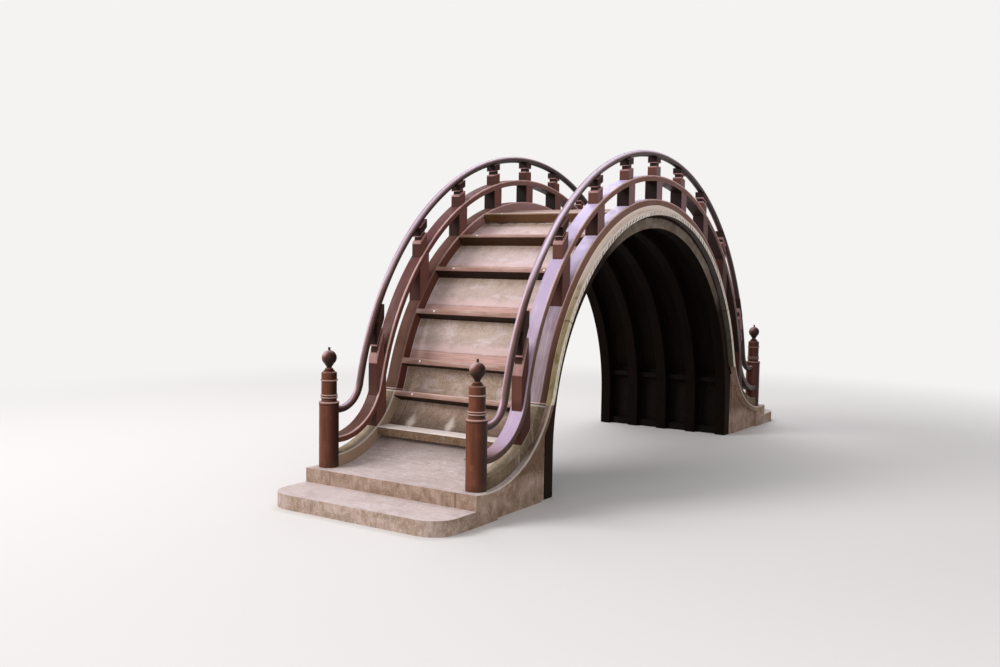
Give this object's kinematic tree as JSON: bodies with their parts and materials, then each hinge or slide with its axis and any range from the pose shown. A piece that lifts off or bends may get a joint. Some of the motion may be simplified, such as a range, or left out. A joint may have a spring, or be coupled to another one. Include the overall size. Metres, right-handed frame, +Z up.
{
  "type": "moon bridge",
  "caption": "Steeply arched garden footbridge with cross treads, round handrails on short struts and turned newel posts, on concrete abutments with a step at each end.",
  "frame": {"origin": "on the ground, midway between the two ends and the two railings", "axes": "+X to the right for someone who walks on at the near end, +Y along the bridge to the far end, +Z up"},
  "size_m": [1.9, 7.915, 3.377],
  "materials": {
    "brown_paint": "satin",
    "tread_wood": "matte",
    "deck_boards": "matte",
    "deck_edge": "matte",
    "rib_wood": "matte",
    "concrete": "matte"
  },
  "bodies": {
    "root": {"near_lower_step": "concrete", "near_abutment": "concrete", "near_kerb_feet": "concrete", "near_sills": "concrete", "near_tread_1": "concrete", "near_tread_2": "tread_wood", "near_tread_3": "tread_wood", "near_tread_4": "tread_wood", "near_tread_5": "tread_wood", "near_tread_6": "tread_wood", "near_tread_7": "tread_wood", "near_riser_boards": "deck_boards", "near_left_newel": "brown_paint", "near_right_newel": "brown_paint", "far_lower_step": "concrete", "far_abutment": "concrete", "far_kerb_feet": "concrete", "far_sills": "concrete", "far_tread_1": "concrete", "far_tread_2": "tread_wood", "far_tread_3": "tread_wood", "far_tread_4": "tread_wood", "far_tread_5": "tread_wood", "far_tread_6": "tread_wood", "far_tread_7": "tread_wood", "far_riser_boards": "deck_boards", "far_left_newel": "brown_paint", "far_right_newel": "brown_paint", "crown_boards": "deck_boards", "arch_deck": "deck_edge", "rib_1": "rib_wood", "rib_2": "rib_wood", "rib_3": "rib_wood", "rib_4": "rib_wood", "rib_5": "rib_wood", "soffit_boards": "rib_wood", "left_kerb": "brown_paint", "left_handrail": "brown_paint", "left_mid_rail": "brown_paint", "left_posts": "brown_paint", "left_struts": "brown_paint", "right_kerb": "brown_paint", "right_handrail": "brown_paint", "right_mid_rail": "brown_paint", "right_posts": "brown_paint", "right_struts": "brown_paint"}
  },
  "joints": []
}
